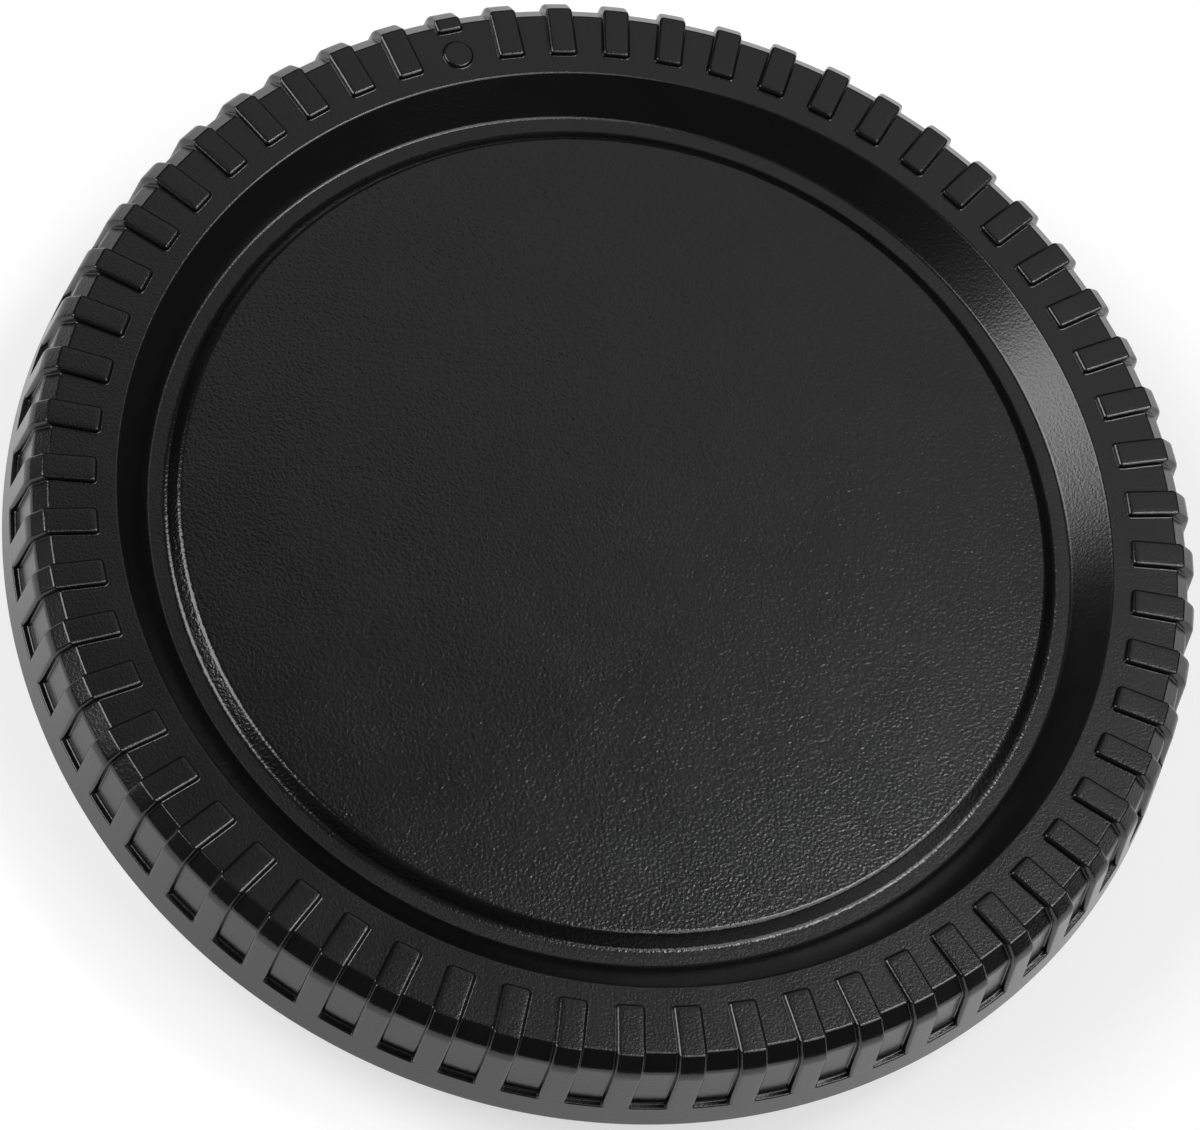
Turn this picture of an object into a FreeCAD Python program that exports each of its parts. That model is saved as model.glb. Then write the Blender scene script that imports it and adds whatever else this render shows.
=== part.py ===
import FreeCAD, Part
import math
import os

# Camera body cap: one moulded cover that turns into the three-lug bayonet of a camera's lens mount.
# Millimetres. The axis is Z, the face looks along +Z, the collar stands on Z = 0, the index dot is towards +Y.

# Collar and bayonet lugs
COLLAR_DIAMETER = 50.2
COLLAR_WALL = 1.6
COLLAR_REACH = 4.6
COLLAR_LEAD_IN = 0.5
LUG_COUNT = 3
LUG_REACH = 1.8
LUG_THICKNESS = 1.4
LUG_ARC = 50.0
LUG_SEAT_GAP = 1.6
LUG_LEAD_IN = 0.3
LUG_RAMP_LENGTH = 4.0
LUG_RAMP_DROP = 0.45

# Face: raised disc with a bevelled edge, ledge and the cone that climbs to the grip ring
FACE_WALL = 1.6
DISC_RISE = 0.66
DISC_BEVEL = 0.59
LEDGE_WIDTH = 1.035
CONE_RUN = 1.85
CONE_RISE = 1.86
WEB_WALL = 1.5

# Grip: flat ring, chamfer, and a flared skirt with a plain band at its foot
RING_WIDTH = 3.67
GRIP_CHAMFER = 0.85
SKIRT_HEIGHT = 5.9
SKIRT_WALL = 1.2
SKIRT_DRAFT = 7.25
BAND_HEIGHT = 1.9

# Ribs that wrap from the ring over the chamfer and down the skirt into the band, with windows between them
RIB_COUNT = 60
RIB_WIDTH = 1.55
RIB_RISE = 0.3
RIB_CORNER = 0.2
RIB_MARGIN = 1.08
WINDOW_DEPTH = 0.36

# Index: a low dot that takes the inner end of one rib
INDEX_ANGLE = 90.0
DOT_DIAMETER = 1.7
DOT_RISE = 0.2
DOT_OVERHANG = 0.2
DOT_GAP = 0.6

# Edge breaks of the moulding
LIP_BREAK = 0.1
RIM_BREAK = 0.2
CHANNEL_BREAK = 0.6

axis_foot = FreeCAD.Vector(0, 0, 0)
axis = FreeCAD.Vector(0, 0, 1)
full_turn = math.degrees(math.tau)

# Heights
z_seat = COLLAR_REACH
z_sill = z_seat + BAND_HEIGHT
z_ring = z_seat + SKIRT_HEIGHT
z_rib = z_ring + RIB_RISE
z_window_chamfer = z_ring - GRIP_CHAMFER
z_rib_chamfer = z_rib - GRIP_CHAMFER
z_web = z_ring - WEB_WALL
z_ledge = z_ring - CONE_RISE
z_disc = z_ledge + DISC_RISE
z_face_back = z_disc - FACE_WALL

# Radii of the collar, and of the face, whose disc ends over the middle of the collar's wall
collar_radius = COLLAR_DIAMETER / 2
collar_bore = collar_radius - COLLAR_WALL
collar_middle = collar_radius - COLLAR_WALL / 2
lug_radius = collar_radius + LUG_REACH
disc_radius = collar_middle - DISC_BEVEL / 2
ledge_inner = collar_middle + DISC_BEVEL / 2
cone_foot = ledge_inner + LEDGE_WIDTH

# Radii of the grip
ring_inner = cone_foot + CONE_RUN
ring_outer = ring_inner + RING_WIDTH
rib_inner = ring_inner + RIB_MARGIN
skirt_flare = math.tan(math.radians(SKIRT_DRAFT))
rim_radius = ring_outer + GRIP_CHAMFER + WINDOW_DEPTH + (z_window_chamfer - z_seat) * skirt_flare

# Places of the index dot and of the short rib outside it
dot_radius = DOT_DIAMETER / 2
dot_centre = rib_inner - DOT_OVERHANG + dot_radius
short_rib_inner = dot_centre + dot_radius + DOT_GAP


def skirt_radius(z):
    """Radius of the skirt's outer surface, which flares towards the seat."""
    return rim_radius - (z - z_seat) * skirt_flare


def window_radius(z):
    """Radius of the window floors between the ribs."""
    return skirt_radius(z) - WINDOW_DEPTH


def broken_face(corners):
    """Flat face from (point, edge break) corners, where each break cuts its corner off evenly."""
    outline = []
    for i, (corner, length) in enumerate(corners):
        to_last = corners[i - 1][0] - corner
        to_next = corners[(i + 1) % len(corners)][0] - corner
        if length > 0:
            outline.append(corner + to_last.normalize() * length)
            outline.append(corner + to_next.normalize() * length)
        else:
            outline.append(corner)
    return Part.Face(Part.makePolygon(outline + outline[:1]))


def half_section(corners):
    """Face in the plane through the axis and +X, from (radius, height, edge break) corners."""
    return broken_face([(FreeCAD.Vector(radius, 0, z), length) for radius, z, length in corners])


def turned(section, sweep=full_turn):
    """Solid that a half section makes as it turns about the axis."""
    return section.revolve(axis_foot, axis, sweep)


def placed(shape, angle):
    """Copy of a shape that was modelled towards +X, turned about the axis."""
    copy = shape.copy()
    copy.rotate(axis_foot, axis, angle)
    return copy


def cap_blank():
    """Face, skirt and collar as one turned shell, with the grip still a plain ring of the ribs' height."""
    step_radius = (ring_inner + rib_inner) / 2
    cone_slope = CONE_RISE / CONE_RUN
    cone_length = math.hypot(CONE_RUN, CONE_RISE)
    cone_back = cone_foot + WEB_WALL * CONE_RISE / cone_length
    z_cone_back = z_ledge - WEB_WALL * CONE_RUN / cone_length
    web_inner = cone_back + (z_web - z_cone_back) / cone_slope
    z_collar_root = z_cone_back - (cone_back - collar_radius) * cone_slope
    return turned(half_section([
        (0, z_disc, 0),
        (disc_radius, z_disc, LIP_BREAK),
        (ledge_inner, z_ledge, LIP_BREAK),
        (cone_foot, z_ledge, 0),
        (ring_inner, z_ring, LIP_BREAK),
        (step_radius, z_ring, 0),
        (step_radius, z_rib, 0),
        (skirt_radius(z_rib_chamfer) - GRIP_CHAMFER, z_rib, 0),
        (skirt_radius(z_rib_chamfer), z_rib_chamfer, 0),
        (rim_radius, z_seat, RIM_BREAK),
        (window_radius(z_seat) - SKIRT_WALL, z_seat, 0),
        (window_radius(z_web) - SKIRT_WALL, z_web, CHANNEL_BREAK),
        (web_inner, z_web, 0),
        (collar_radius, z_collar_root, 0),
        (collar_radius, 0, COLLAR_LEAD_IN),
        (collar_bore, 0, 0),
        (collar_bore, z_face_back, 0),
        (0, z_face_back, 0),
    ]))


def rib_slab(inner):
    """Plan of one rib towards +X, parallel sided with broken inner corners, taller and longer than the rib."""
    half_width = RIB_WIDTH / 2
    outer = rim_radius + RIB_WIDTH
    return broken_face([
        (FreeCAD.Vector(inner, half_width, 0), RIB_CORNER),
        (FreeCAD.Vector(inner, -half_width, 0), RIB_CORNER),
        (FreeCAD.Vector(outer, -half_width, 0), 0),
        (FreeCAD.Vector(outer, half_width, 0), 0),
    ]).extrude(axis * (z_rib + RIB_WIDTH))


def grip_windows():
    """All that is sunk between the ribs: the floor of the ring, its chamfer and the windows down to the sill."""
    outer = rim_radius + WINDOW_DEPTH
    z_clear = z_rib + RIB_RISE
    sunk_ring = turned(half_section([
        (ring_inner, z_ring, 0),
        (ring_outer, z_ring, 0),
        (window_radius(z_window_chamfer), z_window_chamfer, 0),
        (window_radius(z_sill), z_sill, 0),
        (outer, z_sill, 0),
        (outer, z_clear, 0),
        (ring_inner, z_clear, 0),
    ]))
    pitch = full_turn / RIB_COUNT
    rib = rib_slab(rib_inner)
    ribs = [placed(rib, INDEX_ANGLE + i * pitch) for i in range(1, RIB_COUNT)]
    ribs.append(placed(rib_slab(short_rib_inner), INDEX_ANGLE))
    return sunk_ring.cut(ribs)


def index_dot():
    """Low round dot, rooted in the ring in line with the short rib."""
    dot = Part.makeCylinder(dot_radius, WEB_WALL + DOT_RISE, FreeCAD.Vector(dot_centre, 0, z_web))
    return placed(dot, INDEX_ANGLE)


def bayonet_lug():
    """Lug that starts at +X, with a ramp on its seat side where it enters under a claw of the mount."""
    z_top = z_seat - LUG_SEAT_GAP
    z_low = z_top - LUG_THICKNESS
    lug = turned(half_section([
        (collar_middle, z_low, 0),
        (lug_radius, z_low, LUG_LEAD_IN),
        (lug_radius, z_top, 0),
        (collar_middle, z_top, 0),
    ]), LUG_ARC)
    ramp = broken_face([
        (FreeCAD.Vector(0, -LUG_RAMP_LENGTH, z_top - 2 * LUG_RAMP_DROP), 0),
        (FreeCAD.Vector(0, LUG_RAMP_LENGTH, z_top), 0),
        (FreeCAD.Vector(0, -LUG_RAMP_LENGTH, z_top), 0),
    ]).extrude(FreeCAD.Vector(lug_radius, 0, 0))
    return lug.cut(ramp)


def build_cap():
    """The whole cap as one solid, with one lug under the index dot."""
    lug = bayonet_lug()
    first_lug = INDEX_ANGLE - LUG_ARC / 2
    lugs = [placed(lug, first_lug + i * full_turn / LUG_COUNT) for i in range(LUG_COUNT)]
    cap = cap_blank().cut(grip_windows())
    return cap.fuse(lugs + [index_dot()]).removeSplitter()


os.makedirs("parts", exist_ok=True)
build_cap().exportStep("parts/body_cap.step")
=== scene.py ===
"""Camera body cap: the moulding with its true rounded edges and its finishes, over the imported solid."""

import logging
import math
from dataclasses import dataclass, field
from enum import Enum
from typing import Any, Iterable, NamedTuple, Sequence

import bmesh
import bpy
from mathutils import Matrix, Vector


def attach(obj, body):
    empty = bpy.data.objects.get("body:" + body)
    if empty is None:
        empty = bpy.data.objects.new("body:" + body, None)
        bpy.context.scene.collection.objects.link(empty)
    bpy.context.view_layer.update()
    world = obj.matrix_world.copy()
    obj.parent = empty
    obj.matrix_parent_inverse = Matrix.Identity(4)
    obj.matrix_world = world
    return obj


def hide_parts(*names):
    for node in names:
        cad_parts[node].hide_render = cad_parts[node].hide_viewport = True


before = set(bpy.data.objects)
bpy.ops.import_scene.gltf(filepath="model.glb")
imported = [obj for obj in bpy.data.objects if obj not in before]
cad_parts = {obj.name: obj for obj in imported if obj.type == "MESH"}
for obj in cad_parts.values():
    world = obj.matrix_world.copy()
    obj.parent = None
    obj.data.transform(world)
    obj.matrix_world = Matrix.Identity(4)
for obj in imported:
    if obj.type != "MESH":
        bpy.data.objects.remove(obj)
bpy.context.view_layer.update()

log = logging.getLogger("body_cap")

# The cap is drawn in millimetres and degrees, and goes into Blender in metres
MM = 0.001
FULL_TURN = 360.0

# Sizes that more than one area of the cap starts from
RING_INNER = 27.48
Z_RING = 10.5
Z_SEAT = 4.6

# Most values of a noise texture lie between these
NOISE_LOW = 0.3
NOISE_HIGH = 0.7

# Vertices of one ring, in the order round the axis
Ring = list[bmesh.types.BMVert]


class Skin(Enum):
    """Areas of the mould that were finished differently, in the order of the cap's material slots."""

    GRIP = 0
    FACE = 1
    CONE = 2
    BEVEL = 3


class Spot(NamedTuple):
    """A point of a half section: its radius from the axis and its height."""

    r: float
    z: float


class Place(NamedTuple):
    """A point of the skin: its angle round the axis in radians, its radius and its height."""

    angle: float
    r: float
    z: float


class Corner(NamedTuple):
    """A corner of a half section, with the radius of its rounding and the steps that draw it."""

    r: float
    z: float
    radius: float = 0.0
    steps: int = 0


class Column(NamedTuple):
    """A line that runs over the rim on a rib or between two ribs.

    rib is 0 for the rib at the start of a pitch and 1 for the next one. offset is the distance from that
    rib's middle, and rise the share of the rib's height that the line has. share is the line's place
    between the feet of two ribs, and 0 for a line on a rib.
    """

    rib: int
    offset: float
    rise: float
    share: float = 0.0


class RingLine(NamedTuple):
    """The flat ring's stations along a rib.

    end is the radius where the rib begins, radii are those of the stations, and rises the share of the
    rib's height that each station may reach.
    """

    end: float
    radii: list[float]
    rises: list[float]


class LugPoint(NamedTuple):
    """A point of a ring past the lugs: its angle in radians, share of a lug's reach and depth of the ramp."""

    angle: float
    share: float
    drop: float


def mix(start: float, end: float, share: float) -> float:
    """Number that lies at a share of the way from one number to another."""
    return start + (end - start) * share


def even(start: float, end: float, count: int) -> list[float]:
    """So many evenly spaced numbers, both ends among them."""
    return [mix(start, end, i / (count - 1)) for i in range(count)]


def rounded(corners: Sequence[Corner]) -> list[Spot]:
    """Draws a half section's line through its corners.

    Args:
        corners: The corners in order. The first and the last are sharp.

    Returns:
        The line's points, with each rounded corner as an arc that touches both of its sides.
    """
    line: list[Spot] = []
    for i, corner in enumerate(corners):
        tip = Vector((corner.r, corner.z))
        if corner.steps == 0:
            line.append(Spot(*tip))
            continue
        to_last = (Vector(corners[i - 1][:2]) - tip).normalized()
        to_next = (Vector(corners[i + 1][:2]) - tip).normalized()
        half = to_last.angle(to_next) / 2
        middle = tip + (to_last + to_next).normalized() * (corner.radius / math.sin(half))
        start = tip + to_last * (corner.radius / math.tan(half)) - middle
        end = tip + to_next * (corner.radius / math.tan(half)) - middle
        turn = math.atan2(start.cross(end), start.dot(end))
        for step in range(corner.steps + 1):
            line.append(Spot(*(middle + Matrix.Rotation(turn * step / corner.steps, 2) @ start)))
    return line


@dataclass
class Shell:
    """The closed skin of the moulding, laid ring by ring round the axis."""

    mesh: bmesh.types.BMesh = field(default_factory=bmesh.new)
    # Power of a face's area by which it leads the shading at its corners
    lead: int = 3

    def ring(self, places: Iterable[Place]) -> Ring:
        """Adds a ring of points.

        Args:
            places: The points in the order round the axis.

        Returns:
            The ring's vertices.
        """
        return [
            self.mesh.verts.new(Vector((r * math.cos(a), r * math.sin(a), z)) * MM) for a, r, z in places
        ]

    def even_ring(self, spot: Spot, count: int, first: float) -> Ring:
        """Adds a round ring of evenly spaced points, the first of them at an angle in degrees."""
        step = math.tau / count
        return self.ring(Place(math.radians(first) + i * step, spot.r, spot.z) for i in range(count))

    def face(self, corners: Sequence[bmesh.types.BMVert], skin: Skin) -> None:
        """Adds one smooth face.

        Args:
            corners: The face's vertices in order.
            skin: The face's finish.
        """
        made = self.mesh.faces.new(corners)
        made.smooth = True
        made.material_index = skin.value

    def band(self, first: Ring, second: Ring, skin: Skin, leave: Iterable[int] = ()) -> None:
        """Joins two rings of as many points.

        Args:
            first: One ring.
            second: The other ring.
            skin: Finish of the faces between them.
            leave: Points of the rings after which no face is made.
        """
        count = len(first)
        left_out = {i % count for i in leave}
        for i in range(count):
            if i not in left_out:
                j = (i + 1) % count
                self.face((first[i], first[j], second[j], second[i]), skin)

    def sweep(self, ring: Ring, spots: Iterable[Spot], skin: Skin, first: float) -> Ring:
        """Goes on from a ring with round rings of as many points.

        Args:
            ring: The ring to go on from.
            spots: Where the new rings lie, in order.
            skin: Finish of the faces between the rings.
            first: Angle of the rings' first point, in degrees.

        Returns:
            The last ring.
        """
        for spot in spots:
            following = self.even_ring(spot, len(ring), first)
            self.band(ring, following, skin)
            ring = following
        return ring

    def thin_out(self, fine: Ring, spot: Spot, skin: Skin, first: float) -> Ring:
        """Goes on from a ring with a round ring of a third as many points.

        Args:
            fine: The ring to go on from.
            spot: Where the new ring lies.
            skin: Finish of the faces between the two.
            first: Angle of the rings' first point, in degrees.

        Returns:
            The new ring.
        """
        coarse = self.even_ring(spot, len(fine) // 3, first)
        for i, here in enumerate(coarse):
            there = coarse[(i + 1) % len(coarse)]
            a, b, c, d = (fine[(3 * i + k) % len(fine)] for k in range(4))
            self.face((a, b, here), skin)
            self.face((b, c, there, here), skin)
            self.face((c, d, there), skin)
        return coarse

    def close_in(self, ring: Ring, spots: Sequence[Spot], skin: Skin, first: float) -> None:
        """Fills a round area, with fewer points on its inner rings.

        Args:
            ring: The area's outer ring.
            spots: Where the inner rings lie, from the outside in. The first two thin the points out.
            skin: The area's finish.
            first: Angle of the rings' first point, in degrees.
        """
        for spot in spots[:2]:
            ring = self.thin_out(ring, spot, skin, first)
        self.close(self.sweep(ring, spots[2:], skin, first), skin)

    def close(self, ring: Ring, skin: Skin) -> None:
        """Closes a ring with faces that meet in its middle.

        Args:
            ring: The ring.
            skin: Finish of the faces.
        """
        middle = self.mesh.verts.new(sum((v.co for v in ring), Vector()) / len(ring))
        for i, here in enumerate(ring):
            self.face((here, ring[(i + 1) % len(ring)], middle), skin)

    def finished(self, name: str) -> bpy.types.Mesh:
        """Turns the skin into a mesh.

        Args:
            name: Name of the mesh.

        Returns:
            The mesh, whose faces all look outwards. Large faces lead its shading, so that flats look flat
            right up to their rounded edges.
        """
        bmesh.ops.recalc_face_normals(self.mesh, faces=self.mesh.faces)
        mesh = bpy.data.meshes.new(name)
        self.mesh.to_mesh(mesh)
        self.mesh.free()
        normals = [Vector() for _ in mesh.vertices]
        for polygon in mesh.polygons:
            for vertex in polygon.vertices:
                normals[vertex] += polygon.normal * (polygon.area / MM ** 2) ** self.lead
        mesh.normals_split_custom_set_from_vertices([normal.normalized() for normal in normals])
        return mesh


@dataclass
class IndexDot:
    """The low round dot on the ring that marks how the cap goes on."""

    centre: float = 29.21
    # From the dot's middle to the inner and outer edge of the room that the ring leaves for it
    room: float = 1.1
    # Direction of the first point round the dot, from the way round the axis towards outwards
    first: float = 198.0
    # Half section about the dot's own middle, from the ring's height up to the flat top
    section: tuple[Spot, ...] = (
        Spot(0.93, 0.0), Spot(0.865, 0.02), Spot(0.845, 0.06), Spot(0.815, 0.13),
        Spot(0.78, 0.175), Spot(0.71, 0.2), Spot(0.4, 0.2),
    )

    def build(self, shell: Shell, border: Ring, angle: float, z: float) -> None:
        """Fills the room that the ring's faces leave for the dot.

        Args:
            shell: The skin that the dot belongs to.
            border: The vertices round the room, from its inner corner in the order round the dot.
            angle: Direction of the dot from the axis, in radians.
            z: Height of the ring.
        """
        outwards = Vector((math.cos(angle), math.sin(angle), 0))
        along = Vector((-math.sin(angle), math.cos(angle), 0))
        step = math.tau / len(border)
        turns = [math.radians(self.first) + i * step for i in range(len(border))]
        last = border
        for r, rise in self.section:
            middle = outwards * self.centre + Vector((0, 0, z)) + Vector((0, 0, rise))
            loop = [
                shell.mesh.verts.new((middle + (outwards * math.sin(t) + along * math.cos(t)) * r) * MM)
                for t in turns
            ]
            shell.band(last, loop, Skin.GRIP)
            last = loop
        shell.close(last, Skin.GRIP)


@dataclass
class GripRim:
    """The rim that fingers turn: a flat ring, a chamfer and a flared skirt, and ribs that wrap over them."""

    rib_count: int = 60
    index_angle: float = 90.0
    ring_inner: float = RING_INNER
    ring_width: float = 3.67
    chamfer: float = 0.85
    z_seat: float = Z_SEAT
    z_ring: float = Z_RING
    draft: float = 7.25
    band_height: float = 1.9
    window_depth: float = 0.36
    rib_rise: float = 0.3
    rib_foot_width: float = 1.59
    rib_end: float = 28.54
    short_rib_end: float = 30.64
    # Section of a rib's side: distance in from its foot line, and share of the rib's height
    side: tuple[tuple[float, float], ...] = (
        (-0.065, 0.0), (-0.01, 0.03), (0.01, 0.14), (0.035, 0.50), (0.085, 0.86), (0.21, 1.0),
    )
    # Radii of the roundings
    rib_corner: float = 0.28
    ring_edge: float = 0.2
    rib_shoulder: float = 1.1
    window_shoulder: float = 0.55
    sill_fillet: float = 0.12
    sill_edge: float = 0.1
    rim_edge: float = 0.2
    # How far round a rib's corner its outlines are drawn in to the rounding
    corner_reach: float = 0.1
    # Columns on top of a rib, as a share of its half width, and between the feet of two ribs
    crest: float = 0.4
    between: tuple[float, ...] = (0.25, 0.5, 0.75)
    # Stations on the flat ring: the first and the last one's distance from its edges, and the dot's room
    inner_margin: float = 0.42
    outer_margin: float = 0.3
    dot_stations: int = 5
    dot_columns: int = 8
    # Stations down the skirt: on the windows and the ribs, round the sill, and at the rim's foot
    window_heights: tuple[float, ...] = (9.2, 8.2, 7.2)
    rib_heights: tuple[float, ...] = (9.35, 8.25, 7.2)
    sill_stations: int = 7
    sill_above: float = 0.09
    sill_step: float = 0.03
    foot_height: float = 0.9
    foot_width: float = 0.6
    dot: IndexDot = field(default_factory=IndexDot)

    def __post_init__(self) -> None:
        """Works out the lines that all columns share."""
        self.half_width = self.rib_foot_width / 2
        self.z_sill = self.z_seat + self.band_height
        self.ring_outer = self.ring_inner + self.ring_width
        self.flare = math.tan(math.radians(self.draft))
        z_chamfer = self.z_ring - self.chamfer
        self.rim_radius = (
            self.ring_outer + self.chamfer + self.window_depth + (z_chamfer - self.z_seat) * self.flare
        )
        self.columns = self.make_columns()
        self.long_line, self.short_line = self.make_ring_lines()
        self.window_line, self.rib_line = self.make_wall_lines()

    def skirt_radius(self, z: float) -> float:
        """Radius of the skirt's outer face at a height."""
        return self.rim_radius - (z - self.z_seat) * self.flare

    def make_columns(self) -> list[Column]:
        """Lays out the columns of one pitch.

        Returns:
            The columns from the middle of one rib to just before the middle of the next.
        """
        rising = [Column(1, inset - self.half_width, rise) for inset, rise in self.side]
        falling = [Column(0, self.half_width - inset, rise) for inset, rise in reversed(self.side)]
        floor = [Column(0, 0.0, 0.0, share) for share in self.between]
        crest = self.half_width * self.crest
        return [
            Column(0, 0.0, 1.0), Column(0, crest, 1.0), *falling, *floor, *rising, Column(1, -crest, 1.0),
        ]

    def make_ring_lines(self) -> tuple[RingLine, RingLine]:
        """Lays out the flat ring's stations.

        Returns:
            The stations along a long rib, and along the short rib. Those of the short rib make room for the
            index dot before they come to the rib's end.
        """
        insets = [inset for inset, _ in self.side]
        rises = [rise for _, rise in self.side]
        first = self.ring_inner + self.inner_margin
        last = self.ring_outer - self.outer_margin
        beyond = 2 * insets[-1]
        on_rib = self.dot_stations + 1
        long_radii = [
            first, *(self.rib_end + inset for inset in insets), *even(self.rib_end + beyond, last, on_rib),
        ]
        room = even(self.dot.centre - self.dot.room, self.dot.centre + self.dot.room, self.dot_stations)
        short_radii = [
            first, *room, *(self.short_rib_end + inset for inset in insets), self.short_rib_end + beyond,
        ]
        return (
            RingLine(self.rib_end, long_radii, [0.0, *rises, *[1.0] * on_rib]),
            RingLine(self.short_rib_end, short_radii, [*[0.0] * on_rib, *rises, 1.0]),
        )

    def make_wall_lines(self) -> tuple[list[Spot], list[Spot]]:
        """Draws the lines from the ring's outer edge to the seat, point by point beside each other.

        Returns:
            The line over the windows between the ribs, and the line over the ribs.
        """
        z_rib = self.z_ring + self.rib_rise
        z_window = self.z_ring - self.chamfer
        z_shoulder = z_rib - self.chamfer
        rib_shoulder = self.skirt_radius(z_shoulder)
        sill_outer = self.skirt_radius(self.z_sill)
        z_foot = self.z_seat + self.foot_height
        foot = [
            Corner(self.skirt_radius(z_foot), z_foot),
            Corner(self.rim_radius, self.z_seat, self.rim_edge, 4),
            Corner(self.rim_radius - self.foot_width, self.z_seat),
        ]
        window = rounded([
            Corner(self.ring_inner, self.z_ring),
            Corner(self.ring_outer, self.z_ring, self.ring_edge, 3),
            Corner(self.ring_outer + self.chamfer / 2, self.z_ring - self.chamfer / 2),
            Corner(self.ring_outer + self.chamfer, z_window, self.window_shoulder, 5),
            *(Corner(self.skirt_radius(z) - self.window_depth, z) for z in self.window_heights),
            Corner(sill_outer - self.window_depth, self.z_sill, self.sill_fillet, 2),
            Corner(sill_outer, self.z_sill, self.sill_edge, 3),
            *foot,
        ])
        sill_heights = [
            self.z_sill + self.sill_above - self.sill_step * i for i in range(self.sill_stations)
        ]
        rib = rounded([
            Corner(self.ring_inner, z_rib),
            Corner(rib_shoulder - self.chamfer, z_rib, self.ring_edge, 3),
            Corner(rib_shoulder - self.chamfer / 2, z_shoulder + self.chamfer / 2),
            Corner(rib_shoulder, z_shoulder, self.rib_shoulder, 5),
            *(Corner(self.skirt_radius(z), z) for z in (*self.rib_heights, *sill_heights)),
            *foot,
        ])
        return window[1:], rib[1:]

    def rib_angle(self, rib: int) -> float:
        """Angle of a rib in radians. Rib 0 is the short one at the index dot."""
        return math.radians(self.index_angle) + math.tau * rib / self.rib_count

    def ring_line(self, rib: int) -> RingLine:
        """The flat ring's stations along a rib."""
        return self.long_line if rib % self.rib_count else self.short_line

    def ring_place(self, pitch: int, column: Column, station: int) -> Place:
        """Finds the place of a column on the flat ring, where the ribs begin with rounded ends.

        Args:
            pitch: Number of the rib that the pitch starts at.
            column: The column.
            station: Number of the station along the ring.

        Returns:
            The place.
        """
        if column.share:
            near = self.ring_line(pitch).radii[station]
            far = self.ring_line(pitch + 1).radii[station]
            foot = self.half_width - self.side[0][0]
            angle = mix(
                self.rib_angle(pitch) + math.asin(foot / near),
                self.rib_angle(pitch + 1) - math.asin(foot / far),
                column.share,
            )
            # The columns a quarter and three quarters of the way keep the radii of the rib beside them
            return Place(angle, mix(near, far, 2 * column.share - 0.5), self.z_ring)
        rib = pitch + column.rib
        line = self.ring_line(rib)
        offset, radius = column.offset, line.radii[station]
        # The rib's end is a square whose outlines are drawn in to circles at its two corners
        arc_offset, arc_radius = self.half_width - self.rib_corner, line.end + self.rib_corner
        x, y = abs(offset) - arc_offset, arc_radius - radius
        if 0 < x and 0 < y and max(x, y) < self.rib_corner + self.corner_reach:
            pull = max(x, y) / math.hypot(x, y)
            offset = math.copysign(arc_offset + x * pull, offset)
            radius = arc_radius - y * pull
        rise = min(column.rise, line.rises[station])
        angle = self.rib_angle(rib) + math.asin(offset / radius)
        return Place(angle, radius, self.z_ring + rise * self.rib_rise)

    def wall_place(self, pitch: int, column: Column, station: int) -> Place:
        """Finds the place of a column between the ring's outer edge and the seat.

        Args:
            pitch: Number of the rib that the pitch starts at.
            column: The column.
            station: Number of the station down the wall.

        Returns:
            The place.
        """
        window, rib = self.window_line[station], self.rib_line[station]
        r, z = mix(window.r, rib.r, column.rise), mix(window.z, rib.z, column.rise)
        if column.share:
            foot = math.asin((self.half_width - self.side[0][0]) / r)
            angle = mix(self.rib_angle(pitch) + foot, self.rib_angle(pitch + 1) - foot, column.share)
            return Place(angle, r, z)
        return Place(self.rib_angle(pitch + column.rib) + math.asin(column.offset / r), r, z)

    def build(self, shell: Shell) -> tuple[Ring, Ring]:
        """Lays the rim's skin.

        Args:
            shell: The skin that the rim belongs to.

        Returns:
            The innermost ring on the front, and the innermost ring on the seat.
        """
        cells = [(pitch, column) for pitch in range(self.rib_count) for column in self.columns]
        rings = [
            shell.ring(self.ring_place(pitch, column, station) for pitch, column in cells)
            for station in range(len(self.long_line.radii))
        ]
        rings += [
            shell.ring(self.wall_place(pitch, column, station) for pitch, column in cells)
            for station in range(len(self.window_line))
        ]
        # The dot's room lies between two stations, and reaches as many columns to both sides of its rib
        low, high, reach = 1, self.dot_stations, self.dot_columns
        for station, (first, second) in enumerate(zip(rings, rings[1:])):
            leave = range(-reach, reach) if low <= station < high else ()
            shell.band(first, second, Skin.GRIP, leave)
        border = [rings[low][i] for i in range(-reach, reach)]
        border += [rings[station][reach] for station in range(low, high)]
        border += [rings[high][i] for i in range(reach, -reach, -1)]
        border += [rings[station][-reach] for station in range(high, low, -1)]
        self.dot.build(shell, border, self.rib_angle(0), self.z_ring)
        return rings[0], rings[-1]


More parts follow.
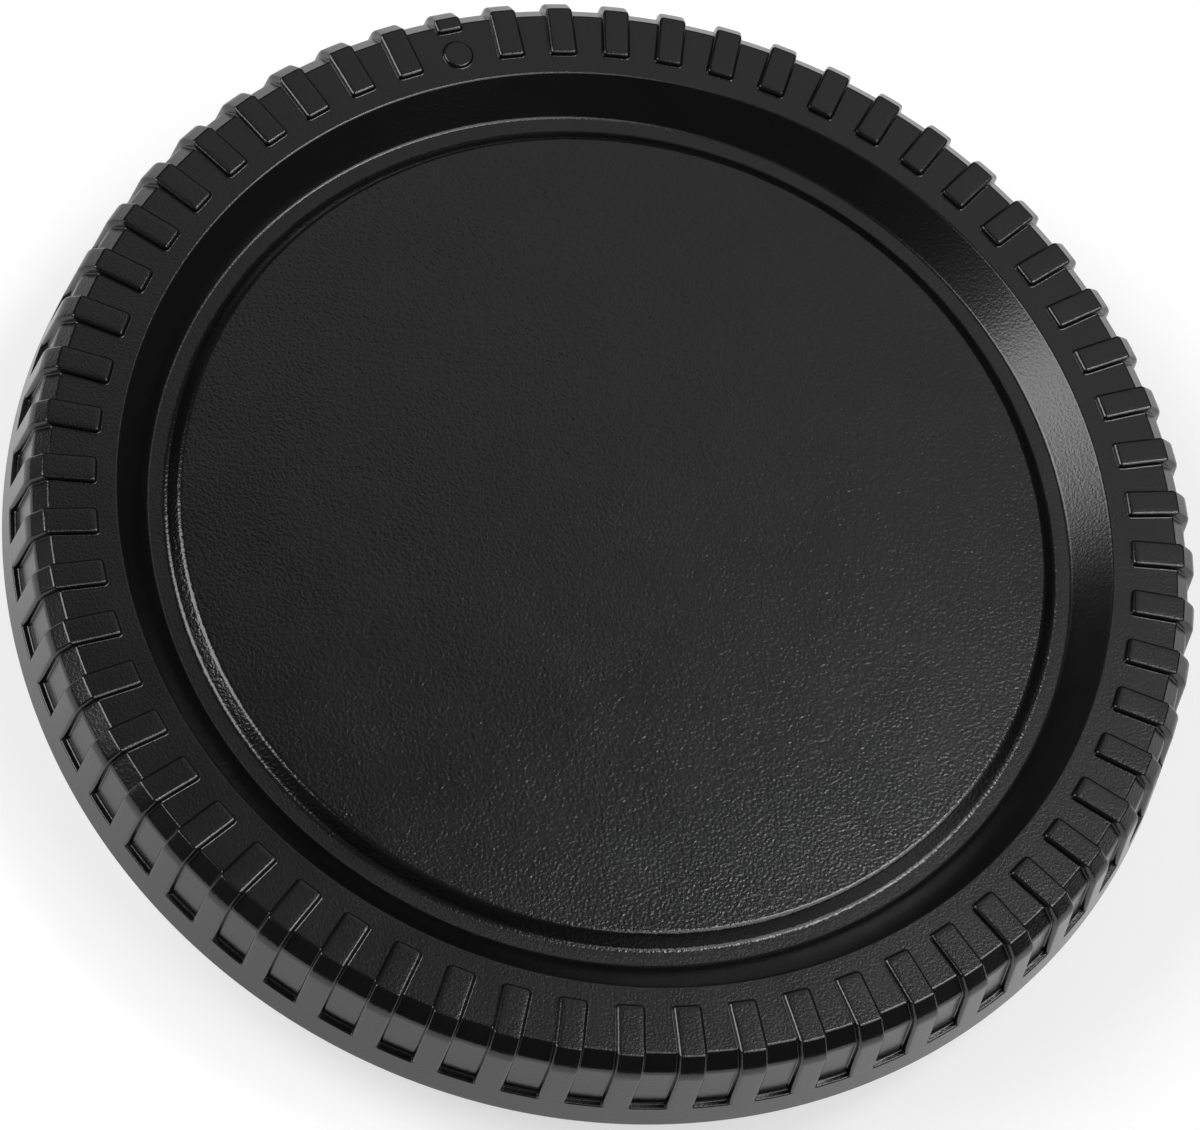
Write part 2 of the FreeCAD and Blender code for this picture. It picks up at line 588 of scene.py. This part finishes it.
@dataclass
class FrontFace:
    """The front inside the rim: a cone down to a ledge, and the disc on it with its bevelled edge."""

    ring_inner: float = RING_INNER
    z_ring: float = Z_RING
    cone_foot: float = 25.63
    z_ledge: float = 8.64
    ledge_inner: float = 24.595
    disc_radius: float = 24.005
    z_disc: float = 9.3
    # Height of the disc's middle over its edge
    crown: float = 0.25
    # Radii of the roundings, and the distance by which each corner of the bevel is moved out for them
    bevel_round: float = 0.42
    bevel_ease: float = 0.04
    cone_lip: float = 0.2
    cone_fillet: float = 0.3
    # Rings of points beside the cone's lip, the bevel's foot and its lip, and on the disc
    even_margin: float = 0.28
    cone_margin: float = 0.15
    foot_margin: float = 0.25
    lip_margin: float = 0.6
    disc_rings: int = 9
    disc_step: float = 2.4

    def disc_spot(self, r: float) -> Spot:
        """Point of the disc, which is crowned a little so that light falls off evenly across it."""
        return Spot(r, self.z_disc + self.crown * (1 - (r / self.disc_radius) ** 2))

    def lines(self, start: Spot) -> list[tuple[Skin, list[Spot]]]:
        """Draws the line from the cone's lip to the disc.

        Args:
            start: Where the line starts on the flat ring.

        Returns:
            Stretches of the line in order, each with its finish.
        """
        cone = rounded([
            Corner(*start),
            Corner(self.ring_inner, self.z_ring, self.cone_lip, 5),
            Corner(mix(self.ring_inner, self.cone_foot, 0.5), mix(self.z_ring, self.z_ledge, 0.5)),
            Corner(self.cone_foot, self.z_ledge, self.cone_fillet, 5),
            Corner(mix(self.cone_foot, self.ledge_inner, 0.5), self.z_ledge),
        ])[1:]
        ledge_end = Spot(self.ledge_inner + self.foot_margin, self.z_ledge)
        disc_start = self.disc_spot(self.disc_radius - self.lip_margin)
        foot = Corner(self.ledge_inner + self.bevel_ease, self.z_ledge)
        lip = Corner(self.disc_radius - self.bevel_ease, self.z_disc)
        round_foot, round_lip = (
            corner._replace(radius=self.bevel_round, steps=5) for corner in (foot, lip)
        )
        up_bevel = rounded([foot, round_lip, Corner(*disc_start)])[1:]
        return [
            (Skin.CONE, cone),
            (Skin.GRIP, [ledge_end]),
            (Skin.FACE, rounded([Corner(*ledge_end), round_foot, lip])[1:-1]),
            (Skin.BEVEL, up_bevel[:1]),
            (Skin.FACE, up_bevel[1:]),
        ]

    def build(self, shell: Shell, rim: Ring, first: float) -> None:
        """Lays the skin from the rim to the middle of the disc.

        Args:
            shell: The skin that the front belongs to.
            rim: The rim's innermost ring.
            first: Angle of the rings' first point, in degrees.
        """
        fine = shell.sweep(rim, [Spot(self.ring_inner + self.even_margin, self.z_ring)], Skin.GRIP, first)
        start = Spot(self.ring_inner + self.cone_margin, self.z_ring)
        ring = shell.thin_out(fine, start, Skin.GRIP, first)
        for skin, line in self.lines(start):
            ring = shell.sweep(ring, line, skin, first)
        disc = [self.disc_spot(self.disc_step * i) for i in range(self.disc_rings, 0, -1)]
        shell.close_in(ring, disc, Skin.FACE, first)


@dataclass
class BayonetBack:
    """The back: the seat, the channel behind the rim, the collar with its lugs and the inside of the face."""

    z_seat: float = Z_SEAT
    channel_outer: float = 31.4425
    channel_outer_top: float = 30.8827
    channel_inner_top: float = 28.104
    z_web: float = 9.0
    collar_radius: float = 25.1
    z_collar_root: float = 5.98
    collar_bore: float = 23.5
    z_face_back: float = 7.7
    lead_in: float = 0.5
    lug_count: int = 3
    lug_arc: float = 50.0
    lug_radius: float = 26.9
    lug_top: float = 3.0
    lug_thickness: float = 1.4
    lug_lead_in: float = 0.3
    ramp_length: float = 4.0
    ramp_drop: float = 0.45
    # Section of a lug's end: distance in from the end, and share of the lug's reach
    lug_end: tuple[tuple[float, float], ...] = (
        (-0.1, 0.0), (-0.02, 0.04), (0.0, 0.85), (0.04, 0.97), (0.12, 1.0),
    )
    # Radii of the roundings
    seat_edge: float = 0.15
    channel_fillet: float = 0.6
    collar_fillet: float = 0.5
    lead_in_edge: float = 0.2
    bore_edge: float = 0.15
    bore_fillet: float = 0.5
    lug_edge: float = 0.12
    lug_ease: float = 0.1
    # Rings of points on the seat, above and below the lugs, and on the inside of the face
    seat_rings: tuple[float, float] = (32.2, 31.9)
    lug_margin: float = 0.2
    bore_margin: float = 1.0
    back_rings: tuple[float, ...] = (20.5, 15.0, 7.5)

    def lug_lines(self) -> tuple[list[Spot], list[Spot]]:
        """Draws the lines down the collar past a lug's height, point by point beside each other.

        Returns:
            The line down the plain collar, and the line over a lug.
        """
        low = self.lug_top - self.lug_thickness
        wall = self.collar_radius
        lug = rounded([
            Corner(wall, self.lug_top + self.lug_margin),
            Corner(wall, self.lug_top, self.lug_ease, 2),
            Corner(self.lug_radius, self.lug_top, self.lug_edge, 3),
            Corner(self.lug_radius, low + self.lug_lead_in, self.lug_ease, 1),
            Corner(self.lug_radius - self.lug_lead_in, low, self.lug_ease, 1),
            Corner(wall, low, self.lug_ease, 2),
            Corner(wall, low - self.lug_margin),
        ])
        plain = [Spot(lug[0].r, z) for z in even(lug[0].z, lug[-1].z, len(lug))]
        return plain, lug

    def lug_points(self, count: int, first: float) -> list[LugPoint]:
        """Finds where each point of a ring lies against the lugs.

        Args:
            count: Points of a ring.
            first: Angle of the first point, in degrees. One lug is centred on it.

        Returns:
            The points in order. Those beside a lug's end are drawn up to it.
        """
        step = FULL_TURN / count
        pitch = FULL_TURN / self.lug_count
        points = []
        for i in range(count):
            angle = first + i * step
            # Angle from the nearer end of the nearest lug, above 0 on the lug
            turn = (angle - first + self.lug_arc / 2) % pitch
            from_end = turn - pitch if turn > (pitch + self.lug_arc) / 2 else turn
            at_start = from_end <= self.lug_arc / 2
            if not at_start:
                from_end = self.lug_arc - turn
            share = 1.0 if from_end > 0 else 0.0
            place = round(from_end / step) + len(self.lug_end) // 2
            if 0 <= place < len(self.lug_end):
                inset, share = self.lug_end[place]
                moved = math.degrees(inset / self.lug_radius)
                angle += moved - from_end if at_start else from_end - moved
                from_end = moved
            along = math.radians(from_end if at_start else self.lug_arc - from_end) * self.lug_radius
            drop = self.ramp_drop * max(0.0, 1 - max(0.0, along) / self.ramp_length)
            points.append(LugPoint(math.radians(angle), share, drop))
        return points

    def build(self, shell: Shell, seat: Ring, first: float) -> None:
        """Lays the skin from the rim's foot to the middle of the face's back.

        Args:
            shell: The skin that the back belongs to.
            seat: The rim's innermost ring on the seat.
            first: Angle of the rings' first point, in degrees. One lug is centred on it.
        """
        outer, start = (Spot(r, self.z_seat) for r in self.seat_rings)
        ring = shell.thin_out(shell.sweep(seat, [outer], Skin.GRIP, first), start, Skin.GRIP, first)
        plain, lug = self.lug_lines()
        channel = rounded([
            Corner(*start),
            Corner(self.channel_outer, self.z_seat, self.seat_edge, 3),
            Corner(self.channel_outer_top, self.z_web, self.channel_fillet, 5),
            Corner(self.channel_inner_top, self.z_web, self.channel_fillet, 3),
            Corner(self.collar_radius, self.z_collar_root, self.collar_fillet, 3),
            Corner(*plain[0]),
        ])[1:-1]
        ring = shell.sweep(ring, channel, Skin.GRIP, first)
        points = self.lug_points(len(ring), first)
        for station, (bare, full) in enumerate(zip(plain, lug)):
            # The ramp lowers only the side of a lug that looks to the seat
            lowered = station < len(lug) // 2
            following = shell.ring(
                Place(
                    angle,
                    mix(bare.r, full.r, share),
                    mix(bare.z, full.z - (drop if lowered else 0.0), share),
                )
                for angle, share, drop in points
            )
            shell.band(ring, following, Skin.GRIP)
            ring = following
        collar = rounded([
            Corner(*plain[-1]),
            Corner(self.collar_radius, self.lead_in, self.lead_in_edge, 2),
            Corner(self.collar_radius - self.lead_in, 0.0, self.lead_in_edge, 2),
            Corner(self.collar_bore, 0.0, self.bore_edge, 3),
            Corner(self.collar_bore, self.z_face_back, self.bore_fillet, 4),
            Corner(self.collar_bore - self.bore_margin, self.z_face_back),
        ])[1:]
        ring = shell.sweep(ring, collar, Skin.GRIP, first)
        shell.close_in(ring, [Spot(r, self.z_face_back) for r in self.back_rings], Skin.GRIP, first)


def linear(colour: str) -> tuple[float, float, float, float]:
    """Linear colour and full opacity from an sRGB hex colour such as "#1a1a1b"."""
    values = [int(colour[i:i + 2], 16) / 255 for i in (1, 3, 5)]
    return (*(v / 12.92 if v <= 0.04045 else ((v + 0.055) / 1.055) ** 2.4 for v in values), 1.0)


def add_node(
    tree: bpy.types.NodeTree,
    kind: str,
    settings: dict[str, Any] | None = None,
    inputs: dict[str | int, Any] | None = None,
) -> bpy.types.Node:
    """Adds a shader node.

    Args:
        tree: The node tree.
        kind: Blender's name of the node type.
        settings: Properties of the node.
        inputs: Value of each input by its name or number, or the output socket that is linked to it.

    Returns:
        The node.
    """
    node = tree.nodes.new(kind)
    for name, value in (settings or {}).items():
        setattr(node, name, value)
    for name, value in (inputs or {}).items():
        if isinstance(value, bpy.types.NodeSocket):
            tree.links.new(value, node.inputs[name])
        else:
            node.inputs[name].default_value = value
    return node


def new_material(name: str) -> tuple[bpy.types.Material, bpy.types.NodeTree]:
    """Makes a material with no nodes.

    Args:
        name: Name of the material.

    Returns:
        The material, and its empty node tree.
    """
    material = bpy.data.materials.new(name)
    material.use_nodes = True
    material.node_tree.nodes.clear()
    return material, material.node_tree


@dataclass(frozen=True)
class MouldedAbs:
    """Black ABS as it comes out of the mould, whose steel gives it the grain. Sizes are in mm.

    The black pigment is a little uneven where the melt flowed in, so that colour and gloss drift over a few
    millimetres.
    """

    name: str
    deep_colour: str
    pale_colour: str
    roughness: float
    grain: float
    grain_depth: float
    roughness_spread: float = 0.01
    flow_size: float = 4.0
    ior: float = 1.57

    def material(self) -> bpy.types.Material:
        """Makes the finish as a material.

        Returns:
            The material.
        """
        material, tree = new_material(self.name)
        place = add_node(tree, "ShaderNodeTexCoord").outputs["Object"]
        # A cell of the noise spans two grains
        grain = add_node(
            tree, "ShaderNodeTexNoise", {},
            {"Vector": place, "Scale": 1 / (2 * self.grain * MM), "Detail": 1.0},
        ).outputs["Fac"]
        patches = add_node(
            tree, "ShaderNodeTexNoise", {},
            {"Vector": place, "Scale": 1 / (self.flow_size * MM), "Detail": 2.0},
        ).outputs["Fac"]
        flow = add_node(
            tree, "ShaderNodeMapRange", {},
            {"Value": patches, "From Min": NOISE_LOW, "From Max": NOISE_HIGH},
        ).outputs["Result"]
        # Inputs 6 and 7 of a mix node are its two colours, and output 2 is the mixed one
        colour = add_node(
            tree, "ShaderNodeMix", {"data_type": "RGBA"},
            {0: flow, 6: linear(self.deep_colour), 7: linear(self.pale_colour)},
        ).outputs[2]
        roughness = add_node(
            tree, "ShaderNodeMapRange", {},
            {
                "Value": flow,
                "To Min": self.roughness - self.roughness_spread,
                "To Max": self.roughness + self.roughness_spread,
            },
        ).outputs["Result"]
        bump = add_node(
            tree, "ShaderNodeBump", {},
            {"Height": grain, "Strength": 1.0, "Distance": self.grain_depth * MM},
        ).outputs["Normal"]
        shader = add_node(
            tree, "ShaderNodeBsdfPrincipled", {},
            {"Base Color": colour, "Roughness": roughness, "IOR": self.ior, "Normal": bump},
        ).outputs["BSDF"]
        add_node(tree, "ShaderNodeOutputMaterial", {}, {"Surface": shader})
        return material


# All grains are drawn about twice as coarse as real ones of 0.03 to 0.05 mm, so that they show in a render

# The grip and the back: a fine satin from a lightly blasted mould, which dulls highlights evenly
SATIN_ABS = MouldedAbs("Black ABS, satin moulded", "#060607", "#0a0a0b", 0.22, 0.075, 0.0095)

# The disc: a spark-eroded mould gives it a sandy grain of pits, which glints where light grazes it
GRAINED_ABS = MouldedAbs("Black ABS, spark-eroded grain", "#060607", "#0a0a0b", 0.21, 0.09, 0.018)

# The cone: a turned mould surface with a flatter grain than the satin, which shows soft, wide reflections
TURNED_ABS = MouldedAbs("Black ABS, smooth moulded", "#040405", "#070708", 0.24, 0.08, 0.009)

# The disc's bevel: deeper eroded than the disc, so that single grains catch the light across it
ERODED_ABS = MouldedAbs("Black ABS, coarse eroded edge", "#040405", "#070708", 0.2, 0.09, 0.023)

FINISHES: dict[Skin, MouldedAbs] = {
    Skin.GRIP: SATIN_ABS,
    Skin.FACE: GRAINED_ABS,
    Skin.CONE: TURNED_ABS,
    Skin.BEVEL: ERODED_ABS,
}


@dataclass
class BodyCap:
    """The whole cap, one moulding."""

    rim: GripRim = field(default_factory=GripRim)
    front: FrontFace = field(default_factory=FrontFace)
    back: BayonetBack = field(default_factory=BayonetBack)

    def build(self) -> bpy.types.Object:
        """Lays the cap's skin in one closed mesh.

        Returns:
            The cap, in the frame of the solid that it replaces.
        """
        shell = Shell()
        inside, seat = self.rim.build(shell)
        self.front.build(shell, inside, self.rim.index_angle)
        self.back.build(shell, seat, self.rim.index_angle)
        cap = bpy.data.objects.new("cap_moulding", shell.finished("cap_moulding"))
        bpy.context.scene.collection.objects.link(cap)
        return cap

    def dress(self, cap: bpy.types.Object) -> None:
        """Gives the cap its finishes and its place on the frame.

        Args:
            cap: The cap that was built.
        """
        for skin in Skin:
            cap.data.materials.append(FINISHES[skin].material())
        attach(cap, "root")
        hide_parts("body_cap")


@dataclass(frozen=True)
class Softbox:
    """A rectangular studio lamp behind a diffuser, aimed at the cap. Its lengths are in metres."""

    name: str
    azimuth: float
    elevation: float
    distance: float
    width: float
    height: float
    watts: float

    def build(self) -> None:
        """Places the lamp. Its azimuth is counted from +X towards +Y."""
        lamp = bpy.data.lights.new(self.name, "AREA")
        lamp.shape = "RECTANGLE"
        lamp.size = self.width
        lamp.size_y = self.height
        lamp.energy = self.watts
        box = bpy.data.objects.new(self.name, lamp)
        turn, lift = math.radians(self.azimuth), math.radians(self.elevation)
        away = Vector((math.cos(lift) * math.cos(turn), math.cos(lift) * math.sin(turn), math.sin(lift)))
        box.location = away * self.distance
        box.rotation_mode = "QUATERNION"
        box.rotation_quaternion = away.to_track_quat("Z", "Y")
        bpy.context.scene.collection.objects.link(box)


@dataclass
class Studio:
    """White table, soft light and the camera."""

    # The table, whose radius is in metres, lies a little below the cap's foot
    table_radius: float = 4.0
    table_segments: int = 96
    table_drop: float = 0.1
    table_colour: str = "#bcbcbc"
    table_lift: float = 0.6
    world_colour: str = "#f2f2f4"
    world_strength: float = 0.07
    softboxes: tuple[Softbox, ...] = (
        Softbox("Right softbox", -40.0, 50.0, 1.0, 0.75, 0.28, 1.75),
        Softbox("Right upper softbox", -40.0, 68.0, 1.0, 0.70, 0.28, 1.65),
        Softbox("Left softbox", 155.0, 40.0, 1.0, 0.60, 0.70, 7.3),
        Softbox("Back panel", 45.0, 54.0, 1.0, 0.70, 0.36, 0.34),
        Softbox("Top lamp", 3.0, 66.0, 1.0, 0.22, 0.22, 1.65),
    )
    # The camera is turned about a point on the cap's axis, and from_aim is its place in its own axes
    azimuth: float = -40.79
    tilt: float = 28.3408
    roll: float = 24.7774
    aim_height: float = 9.2
    from_aim: tuple[float, float, float] = (-0.969, -2.2553, 315.421)
    lens: float = 174.35
    sensor_width: float = 36.0
    # Nearest and farthest distance that the camera sees, in metres
    clip: tuple[float, float] = (0.01, 20.0)

    def table_material(self) -> bpy.types.Material:
        """Makes the table's white, which glows a little where it is seen or mirrored, and keeps shadows.

        Returns:
            The material.
        """
        material, tree = new_material("White table, matt laminate")
        path = add_node(tree, "ShaderNodeLightPath").outputs
        seen = path["Is Camera Ray"]
        for ray in ("Is Glossy Ray", "Is Transmission Ray"):
            seen = add_node(tree, "ShaderNodeMath", {"operation": "ADD"}, {0: seen, 1: path[ray]}).outputs[0]
        lift = add_node(
            tree, "ShaderNodeMath", {"operation": "MULTIPLY"}, {0: seen, 1: self.table_lift},
        ).outputs[0]
        white = add_node(tree, "ShaderNodeEmission", {}, {"Strength": lift}).outputs[0]
        matt = add_node(tree, "ShaderNodeBsdfDiffuse", {}, {"Color": linear(self.table_colour)}).outputs[0]
        both = add_node(tree, "ShaderNodeAddShader", {}, {0: white, 1: matt}).outputs[0]
        add_node(tree, "ShaderNodeOutputMaterial", {}, {"Surface": both})
        return material

    def table(self) -> None:
        """Lays the white table under the cap, which keeps the cap's shadow."""
        mesh = bmesh.new()
        bmesh.ops.create_circle(
            mesh, cap_ends=True, segments=self.table_segments, radius=self.table_radius,
        )
        data = bpy.data.meshes.new("table_top")
        mesh.to_mesh(data)
        mesh.free()
        table = bpy.data.objects.new("table_top", data)
        table.location.z = -self.table_drop * MM
        bpy.context.scene.collection.objects.link(table)
        data.materials.append(self.table_material())

    def light(self) -> None:
        """Sets the soft room light from all round, and the softboxes."""
        world = bpy.data.worlds.new("Studio")
        world.use_nodes = True
        world.node_tree.nodes.clear()
        sky = add_node(
            world.node_tree, "ShaderNodeBackground", {},
            {"Color": linear(self.world_colour), "Strength": self.world_strength},
        ).outputs[0]
        add_node(world.node_tree, "ShaderNodeOutputWorld", {}, {"Surface": sky})
        bpy.context.scene.world = world
        for softbox in self.softboxes:
            softbox.build()
        bpy.context.scene.view_settings.view_transform = "Standard"

    def camera(self) -> None:
        """Places the camera where the photograph was taken from."""
        data = bpy.data.cameras.new("Camera")
        data.lens = self.lens
        data.sensor_width = self.sensor_width
        data.clip_start, data.clip_end = self.clip
        camera = bpy.data.objects.new("Camera", data)
        turn = (
            Matrix.Rotation(math.radians(self.azimuth), 4, "Z")
            @ Matrix.Rotation(math.radians(self.tilt), 4, "X")
            @ Matrix.Rotation(math.radians(self.roll), 4, "Z")
        )
        aim = Matrix.Translation(Vector((0, 0, self.aim_height * MM)))
        camera.matrix_world = aim @ turn @ Matrix.Translation(Vector(self.from_aim) * MM)
        bpy.context.scene.collection.objects.link(camera)
        bpy.context.scene.camera = camera


def main() -> None:
    """Builds the cap and the studio, and reports the cap's mesh."""
    logging.basicConfig(level=logging.INFO, format="%(name)s: %(message)s")
    cap = BodyCap()
    piece = cap.build()
    cap.dress(piece)
    piece.data.calc_loop_triangles()
    log.info("%s: %d triangles, rides on root", piece.name, len(piece.data.loop_triangles))
    studio = Studio()
    studio.table()
    studio.light()
    studio.camera()


if __name__ == "__main__":
    main()
